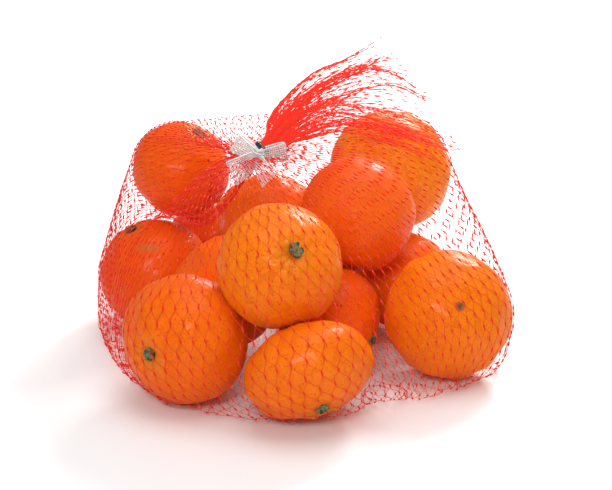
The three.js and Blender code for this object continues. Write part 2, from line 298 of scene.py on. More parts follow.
class NETBAG_PG_mandarins(bpy.types.PropertyGroup):
    peel: colour_field("Peel", "Colour of the ripest peel", linear(242, 90, 8))
    pale_peel: colour_field("Pale peel", "Colour of the yellowest peel", linear(242, 146, 16))
    pore_pitch: length_field("Pore pitch", "Distance between the pores of the peel", 1.05, 0.4, 4)
    pore_depth: length_field("Pore depth", "Depth of the pores", 0.3, 0, 0.8)
    rings: count_field("Rings", "Rings of faces from stalk to blossom end", 72, 16, 160)


class NETBAG_PG_net(bpy.types.PropertyGroup):
    yarn: colour_field("Yarn", "Colour of the yarn", (0.84, 0.024, 0.013))
    # Painted glow: emission on the yarn that stands in for backlight coming through the open strands of spare
    # net
    painted_glow: colour_field("Glow", "Light that comes through the open strands of spare net", (0.34, 0.026, 0.014))
    yarn_radius: length_field("Yarn radius", "Radius of one strand", 0.12, 0.05, 1)
    knot_radius: length_field("Knot radius", "Radius of a knitted joint", 0.46, 0.1, 2)
    knot_length: length_field("Knot length", "Length of a knitted joint", 2.5, 0.5, 6)
    leg: length_field("Leg", "Length of yarn from the middle of one joint to the next", 8.6, 4, 15)
    columns: count_field("Meshes round", "Meshes round the bag", 110, 24, 140)
    settle_steps: count_field("Settling steps", "Steps in which the net settles onto the fruit", 80, 0, 2000)


class NETBAG_PG_bow(bpy.types.PropertyGroup):
    thread: colour_field("Thread", "Colour of the gauze threads", linear(246, 246, 244))
    thread_pitch: length_field("Thread pitch", "Distance between neighbouring threads", 1.0, 0.3, 2)
    thread_radius: length_field("Thread radius", "Radius of one thread", 0.2, 0.05, 0.5)


class NETBAG_PG_stage(bpy.types.PropertyGroup):
    elevation: FloatProperty(
        name="Camera elevation", description="How far above level the camera stands", subtype="ANGLE",
        unit="ROTATION", default=math.radians(19), min=0, max=1.5,
    )
    distance: length_field("Camera distance", "From the camera to the middle of the bag", 900, 200, 5000)
    key: FloatProperty(
        name="Key light", description="Power that the lights take shares of, in watts", default=10.5, min=0
    )
    fill: FloatProperty(name="Fill light", description="Brightness of the white room", default=0.39, min=0)
    floor: colour_field("Floor", "Colour of the floor", (0.93, 0.93, 0.93))


# ---------- finishes ----------
def pores_group():
    """Pores of citrus peel: small round pits of uneven size, and the fine swelling between them."""
    nodes, given, out = new_group("Pores", {"Pitch": 0.0015, "Unevenness": 0.5}, ("Height", "Pit"))
    where = nodes.surface()
    scale = nodes.math("DIVIDE", 1.0, given["Pitch"])
    cells = nodes.add("ShaderNodeTexVoronoi", Vector=where, Scale=scale, Randomness=0.85)
    fine = nodes.noise(nodes.math("MULTIPLY", scale, 0.55), Vector=where, Detail=2.0)
    size = nodes.ramp(fine, 0.35, 0.7, 0.22, 0.5)
    away = nodes.math("DIVIDE", cells.outputs["Distance"], size)
    pit = nodes.math("SUBTRACT", 1.0, nodes.ramp(away, 0.1, 1.0))
    broad = nodes.noise(nodes.math("MULTIPLY", scale, 0.22), Vector=where, Detail=3.0)
    swell = nodes.math("MULTIPLY", broad, given["Unevenness"])
    nodes.set(out, Height=nodes.math("SUBTRACT", swell, pit), Pit=pit)
    return nodes.tree


def mottle_group():
    """Slow and fine drifts of tone over a surface, in bumps about Size across."""
    nodes, given, out = new_group("Mottle", {"Size": 0.01, "Contrast": 1.0}, ["Tone"])
    scale = nodes.math("DIVIDE", 1.0, given["Size"])
    noise = nodes.noise(scale, Vector=nodes.surface(), Detail=4.0, Roughness=0.6)
    off = nodes.math("SUBTRACT", noise, 0.5)
    nodes.set(out, Tone=nodes.math("MULTIPLY_ADD", off, given["Contrast"], 0.5))
    return nodes.tree


GROUPS = {"Pores": pores_group, "Mottle": mottle_group}


def group(name):
    """A shared node group, made once."""
    return bpy.data.node_groups.get(name) or GROUPS[name]()


# Marks on the peel: runs of spots between two directions from the fruit's centre, in the frame's axes.
Mark = namedtuple("Mark", "start end spots radius colour strength")  # radius in millimetres
SCAR = linear(92, 80, 60)
MARKS = {
    "front_right": [
        Mark((0.12, -0.86, 0.48), (0.17, -0.85, 0.48), 2, 3.0, SCAR, 1.0),
        Mark((0.22, -0.85, 0.46), (0.42, -0.78, 0.43), 7, 1.1, SCAR, 0.9),
    ],
    "top_left": [Mark((0.62, -0.68, 0.39), (0.59, -0.72, -0.36), 6, 1.0, linear(110, 36, 14), 0.9)],
    "top_right": [Mark((0.32, -0.81, 0.49), (0.35, -0.8, 0.48), 2, 1.2, linear(110, 92, 76), 0.9)],
    "top_back": [Mark((0.4, -0.6, 0.7), (0.18, -0.78, 0.6), 2, 1.0, linear(70, 60, 40), 0.9)],
    "left_low": [Mark((-0.2, -0.65, 0.7), (0.1, -0.7, 0.7), 4, 2.2, linear(150, 130, 70), 0.5)],
    "middle_low": [Mark((0.12, -0.8, 0.59), (0.2, -0.8, 0.58), 2, 1.0, linear(90, 60, 30), 0.9)],
}


# Painted shade: the pits of the pores are coloured darker, as though in shade.
PIT_SHADE_COLOUR = linear(204, 60, 4)
FLECK_COLOUR = linear(228, 80, 8)
STALK_RING_COLOUR = linear(214, 128, 30)  # the dry ring round the stalk
STALK_RING = 0.003, 0.013  # distances in metres from the stalk over which that ring fades


def peel_material(fruit, settings):
    material, nodes, shader = new_material("peel_" + fruit.name)
    pores = nodes.group(group("Pores"), Pitch=settings.pore_pitch, Unevenness=0.55)
    slow = nodes.group(group("Mottle"), Size=0.022, Contrast=1.3)["Tone"]
    fine = nodes.group(group("Mottle"), Size=0.0028, Contrast=1.6)["Tone"]
    drift = nodes.math("ADD", nodes.math("MULTIPLY", slow, 0.4), nodes.math("MULTIPLY", fine, 0.5))
    hue = nodes.math("ADD", drift, fruit.hue - 0.42)
    colour = nodes.mix(hue, settings.peel, settings.pale_peel)
    colour = nodes.mix(nodes.ramp(fine, 0.35, 0.75, 0.0, 0.45), colour, FLECK_COLOUR)
    # The pits are painted darker: painted shade in the pores.
    colour = nodes.mix(nodes.math("MULTIPLY", pores["Pit"], 0.5), colour, PIT_SHADE_COLOUR)
    where = nodes.surface()
    if fruit.end == "stalk":
        ring = nodes.ramp(nodes.distance(where, peel_at(fruit, fruit.axis)), *STALK_RING, 0.55, 0.0)
        colour = nodes.mix(ring, colour, STALK_RING_COLOUR)
    broken = nodes.noise(900.0, Vector=where, Detail=2.0)
    for mark in MARKS.get(fruit.name, []):
        rng = np.random.default_rng(mark.spots)
        for share in np.linspace(0, 1, mark.spots):
            way = np.array(mark.start) * (1 - share) + np.array(mark.end) * share
            reach = mark.radius * MM * rng.uniform(0.7, 1.1)
            away = nodes.distance(where, peel_at(fruit, way))
            spot = nodes.ramp(away, reach * 0.5, reach * 1.3, mark.strength, 0.0)
            spot = nodes.math("MULTIPLY", spot, nodes.ramp(broken, 0.35, 0.6, 0.6, 1.0))
            colour = nodes.mix(spot, colour, mark.colour)
    nodes.set(shader, Base_Color=colour, Roughness=nodes.math("MULTIPLY_ADD", fine, 0.18, 0.3))
    nodes.bump(shader, pores["Height"], settings.pore_depth, 1.0)
    nodes.set(shader, IOR=1.45, Specular_IOR_Level=0.07, Coat_Weight=0.12, Coat_Roughness=0.14)
    nodes.set(shader, Subsurface_Weight=0.12, Subsurface_Radius=(1.0, 0.4, 0.1), Subsurface_Scale=0.0025)
    return material


def toned_material(name, size, contrast, low, high, roughness):
    """A material whose colour and roughness drift between two values, in bumps about size across."""
    material, nodes, shader = new_material(name)
    tone = nodes.group(group("Mottle"), Size=size, Contrast=contrast)["Tone"]
    smoothest, roughest = roughness
    rough = nodes.math("MULTIPLY_ADD", tone, roughest - smoothest, smoothest)
    nodes.set(shader, Base_Color=nodes.mix(tone, low, high), Roughness=rough)
    return material, nodes, shader, tone


def dimmed(colour, share):
    return tuple(c * share for c in colour)


def yarn_material(name, painted_light_share):
    settings = bpy.context.scene.netbag_net
    deep = dimmed(settings.yarn, 0.72)
    material, nodes, shader, _ = toned_material(name, 0.004, 1.6, deep, settings.yarn, (0.4, 0.6))
    # Emission paints a glow on the yarn, standing in for backlight let through the strands.
    painted_glow = dimmed(settings.painted_glow, painted_light_share)
    nodes.set(shader, Specular_IOR_Level=0.2, Emission_Color=painted_glow, Emission_Strength=1.0)
    nodes.bump(shader, nodes.noise(2600.0, Vector=nodes.surface(), Detail=2.0), 0.0001, 0.6)
    return material


def stalk_material(name):
    shades = linear(24, 28, 12), linear(120, 134, 84)
    material, nodes, shader, tone = toned_material(name, 0.0018, 5.0, *shades, (0.6, 0.8))
    nodes.bump(shader, tone, 0.0003, 0.8)
    return material


def thread_material(name):
    thread = bpy.context.scene.netbag_bow.thread
    material, nodes, shader, _ = toned_material(name, 0.0012, 1.6, dimmed(thread, 0.6), thread, (0.3, 0.55))
    # A faint painted glow: emission that brightens the white gauze.
    nodes.set(shader, Emission_Color=thread, Emission_Strength=0.04)
    return material


def metal_material(name):
    shades = linear(34, 36, 40), linear(104, 106, 112)
    material, nodes, shader, tone = toned_material(name, 0.0009, 1.5, *shades, (0.15, 0.4))
    nodes.set(shader, Metallic=1.0)
    nodes.bump(shader, tone, 0.00005, 0.5)
    return material


BAG_PAINTED_GLOW = 0.3  # the yarn round the fruit is given this share of the spare net's painted glow
FINISHES = {
    "bag_yarn": lambda name: yarn_material(name, BAG_PAINTED_GLOW),
    "spare_yarn": lambda name: yarn_material(name, 1.0),
    "stalk": stalk_material,
    "thread": thread_material,
    "clip_metal": metal_material,
}


def finish(name):
    """A shared material, made once."""
    return bpy.data.materials.get(name) or FINISHES[name](name)


# ---------- mandarins ----------
# On the peel, heights are in millimetres, and widths round an end of the core are in radians.
STALK_HOLLOW = (2.2, 0.17)  # depth and width of the hollow at the stalk
BLOSSOM_HOLLOW = (1.1, 0.2)
COLLAR = (0.7, 0.34, 0.16)  # height, middle and width of the furrowed collar round the stalk hollow
LUMPS = (0.4, 17)  # height and width of the peel's slow lumps, both in millimetres
DENTS = (0.12, 5.5)
TALLEST_LUMP = 0.25
FLAT_SIDE = 0.8  # lowers the lumps and dents, so that most of them lie inside the plain form


def turned(fruit):
    """The rotation that takes the fruit's own +Z to its axis."""
    return np.array(Vector((0, 0, 1)).rotation_difference(Vector(unit(fruit.axis))).to_matrix())


def peel_at(fruit, way):
    """Where a direction from the centre meets the peel, in metres from the centre."""
    way = unit(np.array(way, float))
    t = way @ unit(np.array(fruit.axis, float))
    across = fruit.radius * MM
    return way / math.sqrt((1 - t * t) / across**2 + t * t / (across * fruit.flat) ** 2)


def peel_points(fruit, polar, turn, seed):
    """Points of the peel, in millimetres in the fruit's own axes, for polar angles from the axis's end."""
    way = np.stack([np.sin(polar) * np.cos(turn), np.sin(polar) * np.sin(turn), np.cos(polar)], axis=-1)
    radius = fruit.radius / np.sqrt(1 + way[..., 2] ** 2 * (1 / fruit.flat**2 - 1))
    rng = np.random.default_rng(seed)
    from_stalk = polar if fruit.end == "stalk" else np.pi - polar
    depth = STALK_HOLLOW[0] * rng.uniform(0.8, 1.25)
    dip = depth * np.exp(-((from_stalk / STALK_HOLLOW[1]) ** 2))
    furrows = rng.integers(7, 11)
    wave = np.cos(furrows * turn + 0.8 * np.sin(2 * turn + rng.uniform(0, 6)) + rng.uniform(0, 6))
    height, middle, width = COLLAR
    collar = height * (0.25 + 0.5 * wave) * np.exp(-(((from_stalk - middle) / width) ** 2))
    dip += BLOSSOM_HOLLOW[0] * np.exp(-(((np.pi - from_stalk) / BLOSSOM_HOLLOW[1]) ** 2))
    at = way * fruit.radius
    lumps = LUMPS[0] * (ripple(at, seed + 100, LUMPS[1]) - FLAT_SIDE)
    lumps = lumps + DENTS[0] * (ripple(at, seed + 200, DENTS[1]) - FLAT_SIDE)
    return way * (radius + np.minimum(lumps, TALLEST_LUMP) + collar - dip)[..., None]


def closed_grid(points, first, last):
    """Points and faces of a closed skin through rings of points, with one point at each end."""
    rings, count = points.shape[:2]
    index = 1 + np.arange(rings * count).reshape(rings, count)
    faces = quads(index, 0, 1)[:-1].reshape(-1, 4).tolist()
    end = 1 + rings * count
    near, far = index[0].tolist(), index[-1].tolist()
    faces += [(0, a, b) for a, b in zip(near, near[1:] + near[:1])]
    faces += [(end, b, a) for a, b in zip(far, far[1:] + far[:1])]
    return np.concatenate([[first], points.reshape(-1, 3), [last]]), faces


def mandarin(fruit, seed, rings):
    polar = np.linspace(0, np.pi, rings + 1)[1:-1]
    turn = np.linspace(0, 2 * np.pi, 2 * rings - rings // 2, endpoint=False)
    polar, turn = np.meshgrid(polar, turn, indexing="ij")
    ends = peel_points(fruit, np.array([0.0, np.pi]), np.array([0.0, 0.0]), seed)
    return closed_grid(peel_points(fruit, polar, turn, seed), ends[0], ends[1])


class NETBAG_OT_mandarins(bpy.types.Operator):
    """Adds the fourteen mandarins"""

    bl_idname = "netbag.mandarins"
    bl_label = "Add Mandarins"

    def execute(self, context):
        settings = context.scene.netbag_mandarins
        for seed, fruit in enumerate(FRUITS):
            points, faces = mandarin(fruit, seed, settings.rings)
            points = points @ turned(fruit).T
            material = peel_material(fruit, settings)
            piece = add_mesh("mandarin_" + fruit.name, points, faces, "net", material)
            piece.location = centre_of(fruit) * MM
        return {"FINISHED"}


# Stalk ends: fruit, direction from its centre, radius of the star, length of the stub of stalk left on it.
STALK_ENDS = [
    ("front_left", (-0.6, -0.8, 0.02), 2.9, 1.8),
    ("front_middle", (0.29, -0.8, -0.53), 3.0, 0.6),
    ("middle_low", (0.84, -0.48, -0.24), 2.4, 0.5),
    ("left_low", (-0.45, 0, 0.9), 3.0, 0.5),
    ("right_low", (0.3, 0.9, 0.3), 2.8, 0.5),
    ("back_left", (0, 0, 1), 3.0, 0.6),
    ("back_right", (0, 0, 1), 3.0, 0.6),
    ("top_front", (0.31, -0.74, 0.59), 3.3, 0.2),
    ("top_inner", (-0.1, 0.8, -0.6), 2.8, 0.5),
    ("top_left", (0.43, -0.15, 0.89), 3.1, 0.8),
]
STAR_POINTS = 5
STAR_RINGS = 9
STAR_SIDES = 40
STAR_RISE = 0.45  # millimetres by which the star stands off the peel
STAR_THICKNESS = 0.9
SCAR_RISE = 0.6
SCAR_RADIUS = 1.25
IN_HOLLOW = 0.8  # share of the stalk hollow's depth in which a star at the end of the core lies
ON_CORE = 0.995  # a star whose direction is this close to the core's lies in the hollow


def stalk_end(fruit, seed, way, radius, stub):
    """A star of dry sepals lying in the stalk hollow, with the scar or stub of the stalk in its middle."""
    rng = np.random.default_rng(seed + 500)
    way = turned(fruit).T @ unit(way)
    across, along = fruit.radius, fruit.radius * fruit.flat
    top = way / math.sqrt((way[0] ** 2 + way[1] ** 2) / across**2 + way[2] ** 2 / along**2)
    deepest = STALK_HOLLOW[0] * IN_HOLLOW if way[2] > ON_CORE else 0
    side, other = crosswise(way, [0.3, 1, 0.2])
    share = np.linspace(0, 1, STAR_RINGS + 1)[1:]
    turn = np.linspace(0, 2 * np.pi, STAR_SIDES, endpoint=False)
    share, turn = np.meshgrid(share, turn, indexing="ij")
    tips = 0.07 * np.cos(STAR_POINTS * turn + rng.uniform(0, 6))
    uneven = 0.06 * np.cos(2 * turn + rng.uniform(0, 6))
    reach = radius * share * (1 + tips + uneven)
    hollow = deepest * np.exp(-((reach / fruit.radius / STALK_HOLLOW[1]) ** 2))
    button = np.clip(SCAR_RADIUS - reach, 0, SCAR_RISE) * (0.7 + stub)
    curl = 0.5 * share**3 * (0.6 + 0.4 * np.cos(STAR_POINTS * turn))
    height = STAR_RISE + button + curl - hollow - reach**2 / (2 * fruit.radius)
    upper = top + side * (reach * np.cos(turn))[..., None] + other * (reach * np.sin(turn))[..., None]
    lower = upper + way * (height - STAR_THICKNESS - button * 0.5)[..., None]
    upper = upper + way * height[..., None]
    middle = top + way * (STAR_RISE + SCAR_RISE * (0.7 + stub) - deepest)
    bottom = middle - way * 1.6
    points, faces = closed_grid(np.concatenate([upper, lower[::-1]]), middle, bottom)
    return points @ turned(fruit).T + centre_of(fruit), [tuple(reversed(f)) for f in faces]


class NETBAG_OT_stalk_ends(bpy.types.Operator):
    """Adds the dry green stars where the stalks were"""

    bl_idname = "netbag.stalk_ends"
    bl_label = "Add Stalk Ends"

    def execute(self, context):
        by_name = {fruit.name: fruit for fruit in FRUITS}
        parts = [stalk_end(by_name[name], seed, *star) for seed, (name, *star) in enumerate(STALK_ENDS)]
        points, faces = join(parts)
        add_mesh("stalk_ends", points, faces, "net", finish("stalk"))
        return {"FINISHED"}


# ---------- the net ----------
class Balls:
    """Flattened balls that the net can't enter."""

    def __init__(self, clearance):
        balls = [(centre_of(f), f.axis, f.radius + clearance, f.radius * f.flat + clearance) for f in FRUITS]
        balls += [((*at, 0), (0, 0, 1), radius, height) for at, radius, height in FOLDS]
        self.centres, axes, self.across, self.along = (np.array(column, float) for column in zip(*balls))
        self.axes = unit(axes)

    def push_off(self, points):
        """The points, with those inside a ball moved straight out to its surface."""
        off = points[..., None, :] - self.centres
        t = (off * self.axes).sum(axis=-1)
        square = (off * off).sum(axis=-1) - t * t
        depth = np.sqrt(np.maximum(square, 0) / self.across**2 + t * t / self.along**2)
        push = np.where(depth < 1, 1 / np.maximum(depth, 0.05) - 1, 0)
        return points + (off * push[..., None]).sum(axis=-2)

    def reach(self, ways):
        """How far the balls reach in each direction from the origin."""
        c = ways @ self.axes.T
        half = np.sqrt(self.across**2 * (1 - c * c).clip(0) + (self.along * c) ** 2)
        return (ways @ self.centres.T + half).max(axis=1)


def sphere_ways(rings):
    """Directions spread evenly over a sphere."""
    ways = []
    for i in range(rings + 1):
        polar = np.pi * i / rings
        count = max(1, round(2 * rings * math.sin(polar)))
        turn = 2 * np.pi * (np.arange(count) + (i % 2) / 2) / count
        flat = np.sin(polar)
        ways.append(np.stack([flat * np.cos(turn), flat * np.sin(turn), np.full(count, np.cos(polar))], 1))
    return np.concatenate(ways)


ROWS = 38  # staggered rows of knots from the clip to the seam under the bag
MERIDIAN_STEPS = 160
WRAPPING_RINGS = 30  # how finely the first shape of the net follows the fruit
UNDERSIDE_GAP = 0.12  # radians left open round the pole of the underside
FLOOR_CLEARANCE = 0.4
FRUIT_CLEARANCE = 0.35
SEAM_Y = 12  # the net ends in a straight seam under the bag, at this y
SEAM_SHARE = 0.6  # length of the seam over the width of the bag on the floor
PATH_STEP = 2.0
ROUNDING = 7  # how often the turn from the side down to the floor is smoothed
DRAWN = 0.92  # how near to its full length a leg is drawn
WANDER = 8  # millimetres by which the rows of knots run up and down round the bag
WANDER_WAVES = (5, 8, 13, 19, 28, 37)
JITTER = 0.5
LOOSE_ROWS = (0, 3, 14), (0, 1, 0.35)  # rows counted from the clip, and the share of that wandering there
NECK_ROOM = 0.75  # the yarn in the clip lies within this share of the neck's radius
CROWDING = (138, 26, 0.9)  # where round the bag the net is gathered and how wide, in degrees; how much
# Between the top left fruit and the front ones the net is drawn together in a crease.
CREASE_START = np.array([-20, 0, 91.0])
CREASE_END = np.array([-44, -4, 66.5])
CREASE_TURN = (178, 26)  # its place round the bag and how wide, in degrees
CREASE_GATHER = 0.85  # how much nearer to each other the columns come
CREASE_DEPTH = (-0.1, 0.25, 1), (0, 0.9, 1)  # shares of its length, and how fully the net is drawn in there
CREASE_FADE = 0.4  # how soon the columns part again beyond the end, over the length of the crease


def turns(columns, parity):
    """Angles round the bag of the columns of knots, closer together where the net is gathered."""
    middle, spread, more = CROWDING
    degrees = np.linspace(0, 360, 721)
    away = (degrees - middle + 180) % 360 - 180
    density = 1 + more * np.exp(-((away / spread) ** 2))
    share = np.cumsum(density) - density[0]
    at = (np.arange(columns) + parity / 2) / columns
    return np.radians(np.interp(at, share / share[-1], degrees))


def creased(points, turn):
    """The columns of points, with those near the crease drawn in to it."""
    middle, spread = CREASE_TURN
    away = (np.degrees(turn) - middle + 180) % 360 - 180
    taken = np.exp(-((away / spread) ** 4))[:, None]
    centre = points[:, np.argmin(abs(away))][:, None]
    line = CREASE_END - CREASE_START
    share = ((centre - CREASE_START) @ line / (line @ line))[..., None]
    beyond = np.exp(-(((share - 1) / CREASE_FADE) ** 2))
    pull = np.where(share < 1, np.interp(share, *CREASE_DEPTH), beyond)
    drawn = CREASE_START + line * share - centre + CREASE_GATHER * (centre - points)
    return points + taken * pull * drawn


def wrapping(balls, polar, turn, pole, apex):
    """Points of a taut wrapping of the fruit, by angles from the heart, and the directions round the pole."""
    planes = sphere_ways(WRAPPING_RINGS)
    offset = np.maximum(balls.reach(planes), planes @ apex + NECK_RADIUS) - planes @ HEART
    side, other = crosswise(pole, [0, -1, 0])
    around = np.cos(turn)[..., None] * side + np.sin(turn)[..., None] * other
    ways = np.cos(polar)[..., None] * pole + np.sin(polar)[..., None] * around
    facing = ways @ planes.T
    radius = np.where(facing > 0.05, offset / np.maximum(facing, 0.05), np.inf).min(axis=-1)
    return HEART + ways * radius[..., None], around[0]


def onto_seam(path):
    """The path, with what lies on the floor going straight to the seam and the turn down to it rounded."""
    landed = np.argmax(path[:, 2] <= FLOOR_CLEARANCE)
    start = path[landed]
    end = np.array([start[0] * SEAM_SHARE, SEAM_Y, FLOOR_CLEARANCE])
    path = np.concatenate([path[: landed + 1], end[None]])
    run = run_along(path)
    even = points_at(path, run, np.linspace(0, run[-1], round(run[-1] / PATH_STEP)))
    for _ in range(ROUNDING):
        even[1:-1] = (even[:-2] + 2 * even[1:-1] + even[2:]) / 4
    return even


def wrapped_rows(balls, columns, leg):
    """Knots on the wrapping, rows x columns x 3, and which of them are taken up by the seam."""
    apex = NECK - NECK_DIRECTION * APEX_BELOW
    pole = unit(apex - HEART)
    polar = np.linspace(0.03, np.pi - UNDERSIDE_GAP, MERIDIAN_STEPS)
    rng = np.random.default_rng(3)
    phases = rng.uniform(0, 2 * np.pi, len(WANDER_WAVES))
    rows = np.zeros((ROWS + 1, columns, 3))
    seamed = np.zeros((ROWS + 1, columns), bool)
    for parity in (0, 1):  # odd rows stand half a mesh over
        turn = turns(columns, parity)
        paths, around = wrapping(balls, *np.meshgrid(polar, turn, indexing="ij"), pole, apex)
        top = NECK + around * NECK_RADIUS * NECK_ROOM
        low = apex + around * NECK_RADIUS
        paths = creased(np.concatenate([top[None], low[None], paths]), turn)
        paths[..., 2] = np.maximum(paths[..., 2], FLOOR_CLEARANCE)
        place = 2 * np.pi * (np.arange(columns) + parity / 2) / columns
        wander = WANDER * np.sin(np.outer(place, WANDER_WAVES) + phases).mean(axis=1)
        paths = [onto_seam(paths[:, i]) for i in range(columns)]
        for i, path in enumerate(paths):
            beside = paths[(i + 1) % columns]
            run = run_along(path)
            along = np.minimum(np.arange(len(path)), len(beside) - 1)
            mesh_width = np.linalg.norm(beside[along] - path, axis=1)
            s = 0.0
            for r in range(ROWS + 1):
                if r % 2 == parity:
                    stray = (wander[i] + rng.normal(0, JITTER)) * np.interp(r, *LOOSE_ROWS)
                    at = np.clip(s + stray, 0, run[-1])
                    rows[r, i] = points_at(path, run, at)
                    seamed[r, i] = at >= run[-1]
                width = np.interp(s, run, mesh_width)
                s += math.sqrt(max((DRAWN * leg) ** 2 - width**2 / 4, 1.0))
    return rows, seamed


def legs_of(rows, columns):
    """Four sets of legs in which no knot comes twice: index of the upper knot and of the lower one."""
    index = np.arange(rows * columns).reshape(rows, columns)
    sets = []
    for parity in (0, 1):
        upper = index[parity : rows - 1 : 2]
        lower = index[parity + 1 :: 2][: len(upper)]
        sets.append((upper.ravel(), lower.ravel()))
        shift = 1 if parity == 0 else -1
        sets.append((upper.ravel(), np.roll(lower, shift, axis=1).ravel()))
    return sets


SPREAD = 0.03  # share of an uneven spacing that is evened out in one step
HOME = 0.12  # share of the way back to its first place that a knot springs in one step


def settle(rows, seamed, balls, leg, steps):
    """Evens out the net over the fruit and the floor, and keeps its legs to the length of their yarn."""
    count, columns = rows.shape[:2]
    points = rows.reshape(-1, 3).copy()
    held = np.where(seamed.reshape(-1, 1), 0.0, 1.0)
    held[:columns] = 0
    home = points.copy()
    sets = legs_of(count, columns)
    for _ in range(steps):
        points += HOME * held * (home - points)
        grid = points.reshape(count, columns, 3)
        left, right = np.roll(grid, 1, axis=1), np.roll(grid, -1, axis=1)
        along = unit(right - left + 1e-9)
        uneven = (((left + right) / 2 - grid) * along).sum(axis=-1, keepdims=True)
        points += SPREAD * (uneven * along).reshape(-1, 3) * held
        for _ in range(2):
            for a, b in sets:
                line = points[b] - points[a]
                length = np.linalg.norm(line, axis=1, keepdims=True)
                fix = line * np.maximum(length - leg, 0) / np.maximum(length, 1e-6)
                share = held[a] + held[b] + 1e-9
                points[a] += fix * held[a] / share
                points[b] -= fix * held[b] / share
        points = np.where(held > 0, balls.push_off(points), points)
        points[:, 2] = np.maximum(points[:, 2], FLOOR_CLEARANCE)
    return points.reshape(rows.shape)


LEG_STEPS = 4
LEG_SIDES = 3
LEG_INSET = 0.8  # how far along the half length of a knot its legs leave it
LEG_BEND = 0.12  # how stiffly a leg sets out along its knots, over its span
STRAY = 0.25  # spread of how far slack legs stray, over what their yarn would allow
KNOT_SIDES = 5
KNOT_TWIST = 0.5  # radians from one ring of points to the next
KNOT_LENGTHS = (0.85, 1.15)
KNOT_PROFILE = np.array([0.35, 0.85, 1.0, 0.85, 0.35])
SPARE_SWAY = 0.35  # slack legs of the spare net stray this share of what those of the bag do
# Distances from the neck, how thick the stretched yarn is there, and how stout the knots.
BAG_THICKNESS = (0, 20, 50, 70, 110), (1.2, 1.0, 0.8, 0.75, 1.0), (0.7, 0.9, 0.9, 0.9, 1.0)
SPARE_THICKNESS = (0, 25, 45, 80), (2.2, 1.4, 0.9, 0.45), (1.0, 1.0, 0.8, 0.6)
ON_FLOOR = 1.2  # yarn lower than this lies under the bag
FLOOR_THIN = 0.42  # and is drawn out thinner by this


def wales(flat, sets):
    """The way each knot points: from the mean of the knots above it to the mean of those below."""
    ends = []
    for own, other in ((0, 1), (1, 0)):
        total, weight = np.zeros_like(flat), np.zeros((len(flat), 1))
        for pair in sets:
            np.add.at(total, pair[own], flat[pair[other]])
            np.add.at(weight, pair[own], 1)
        ends.append(np.where(weight > 0, total / np.maximum(weight, 1), flat))
    below, above = ends
    return unit(below - above + 1e-9)


def knots_and_legs(rows, seamed, settings, seed, sway):
    """Paths of the knots and of the legs between them. sway says how far slack legs stray from straight."""
    rng = np.random.default_rng(seed)
    flat = rows.reshape(-1, 3)
    seamed = seamed.ravel()
    sets = legs_of(*rows.shape[:2])
    wale = wales(flat, sets)
    half = settings.knot_length / MM / 2
    inset = half * LEG_INSET
    s = np.linspace(-1, 1, len(KNOT_PROFILE))[None, :, None]
    knots = flat[:, None] + wale[:, None] * s * half * rng.uniform(*KNOT_LENGTHS, (len(flat), 1, 1))
    t = np.linspace(0, 1, LEG_STEPS + 1)[None, :, None]
    legs = []
    for a, b in sets:
        free = ~(seamed[a] & seamed[b])
        a, b = a[free], b[free]
        start = flat[a] + wale[a] * inset
        end = flat[b] - wale[b] * inset
        span = np.linalg.norm(end - start, axis=1, keepdims=True)
        bend = span * LEG_BEND
        path = (
            (1 - t) ** 3 * start[:, None]
            + 3 * t * (1 - t) ** 2 * (start + wale[a] * bend)[:, None]
            + 3 * t**2 * (1 - t) * (end - wale[b] * bend)[:, None]
            + t**3 * end[:, None]
        )
        slack = np.maximum(settings.leg / MM - 2 * inset - span, 0)
        stray = np.sqrt(slack * span) * sway * rng.normal(0, STRAY, span.shape)
        side = unit(np.cross(end - start, unit(start - HEART)) + 1e-9)
        path += side[:, None] * (stray[:, None] * np.sin(np.pi * t))
        legs.append(path)
    return knots[~seamed], np.concatenate(legs)


def add_net(name, rows, seamed, balls, seed, thickness, sway):
    """Adds the legs of yarn and the knots of a piece of net."""
    settings = bpy.context.scene.netbag_net
    radius = settings.yarn_radius / MM
    knots, legs = knots_and_legs(rows, seamed, settings, seed, sway)
    legs = balls.push_off(legs)
    legs[..., 2] = np.maximum(legs[..., 2], radius)
    half = len(legs) // 2
    away, thick, stout = thickness
    knot = settings.knot_radius / MM * KNOT_PROFILE
    for piece, paths, size, drawn, sides, shape in (
        ("yarn_1", legs[:half], radius, thick, LEG_SIDES, {"caps": False}),
        ("yarn_2", legs[half:], radius, thick, LEG_SIDES, {"caps": False}),
        ("knots", knots, knot, stout, KNOT_SIDES, {"twist": KNOT_TWIST}),
    ):
        facing = unit(paths.mean(axis=1, keepdims=True) - HEART)
        radii = size * np.interp(np.linalg.norm(paths - NECK, axis=-1), away, drawn)
        radii = radii * np.where(paths[..., 2] < ON_FLOOR, FLOOR_THIN, 1)
        points, faces = tubes(paths, radii, sides, facing, **shape)
        add_mesh(f"{name}_{piece}", points, faces, "net", finish(name + "_yarn"))


class NETBAG_OT_bag_net(bpy.types.Operator):
    """Adds the net round the fruit, from the clip to the underside"""

    bl_idname = "netbag.bag_net"
    bl_label = "Add Bag Net"

    def execute(self, context):
        settings = context.scene.netbag_net
        balls = Balls(FRUIT_CLEARANCE + settings.yarn_radius / MM)
        rows, seamed = wrapped_rows(balls, settings.columns, settings.leg / MM)
        rows = settle(rows, seamed, balls, settings.leg / MM, settings.settle_steps)
        add_net("bag", rows, seamed, balls, seed=1, thickness=BAG_THICKNESS, sway=1.0)
        return {"FINISHED"}


FINE_STEPS = 24


